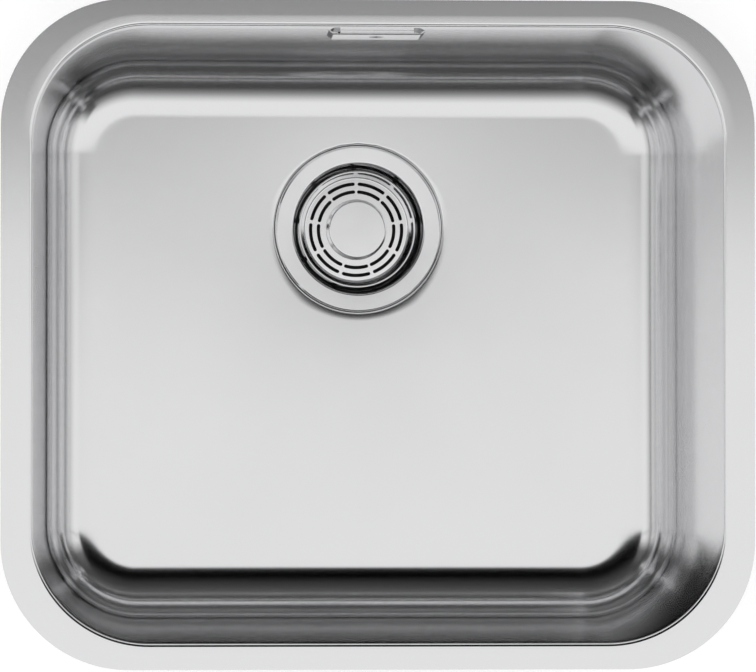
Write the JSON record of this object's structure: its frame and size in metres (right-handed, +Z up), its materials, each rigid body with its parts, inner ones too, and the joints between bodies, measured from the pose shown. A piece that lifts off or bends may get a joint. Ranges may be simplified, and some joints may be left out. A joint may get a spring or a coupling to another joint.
{
  "type": "undermount kitchen sink",
  "caption": "Rectangular steel sink bowl with round corners and a flat rim that fixes under a worktop, with a lift-out basket strainer, moulded waste and slot overflow on a hose.",
  "frame": {"origin": "centre of the bowl's opening, in the plane of the rim's top face, which seats against the underside of the worktop", "axes": "+X along the longer side of the bowl, +Y to the back, where the overflow is, +Z up"},
  "size_m": [0.49, 0.4356, 0.2655],
  "materials": {
    "satin_steel": "satin, pressed and lightly brushed",
    "drain_steel": "fine turned satin",
    "strainer_steel": "bright satin",
    "screw_steel": "plain machined",
    "insert_brass": "turned, dull",
    "seal_rubber": "matt black, moulded",
    "damping_rubber": "matt dark grey sheet",
    "waste_plastic": "moulded polypropylene, fine matt",
    "nut_plastic": "moulded polypropylene, fine matt",
    "hose_plastic": "blown polypropylene, slightly glossy"
  },
  "bodies": {
    "sink": {"bowl": "satin_steel", "floor_pad_front": "damping_rubber", "floor_pad_left": "damping_rubber", "floor_pad_right": "damping_rubber", "wall_pad_left": "damping_rubber", "wall_pad_right": "damping_rubber", "waste_flange": "drain_steel", "flange_seal": "seal_rubber", "under_seal": "seal_rubber", "centre_screw": "screw_steel", "screw_washer": "screw_steel", "waste_body": "waste_plastic", "body_insert": "insert_brass", "overflow_cover": "satin_steel", "overflow_screw": "screw_steel", "overflow_gasket": "seal_rubber", "overflow_head": "waste_plastic", "overflow_insert": "insert_brass", "hose_clip": "screw_steel", "overflow_hose": "hose_plastic", "union_nut": "nut_plastic", "cone_seal": "seal_rubber"},
    "grip_ring": {"stem_ring": "seal_rubber"},
    "strainer": {"strainer_basket": "strainer_steel", "basket_knob": "strainer_steel", "basket_stem": "screw_steel", "basket_seal": "seal_rubber", "seal_plate": "screw_steel", "stem_nut": "screw_steel"}
  },
  "joints": [
    {"name": "strainer_lift", "type": "slide", "parent": "sink", "child": "grip_ring", "axis": [0, 0, 1], "range_m": [0, 0.25]},
    {"name": "strainer_spin", "type": "hinge", "parent": "grip_ring", "child": "strainer", "pos_m": [0, 0.075, -0.2], "axis": [0, 0, 1], "continuous": true}
  ]
}
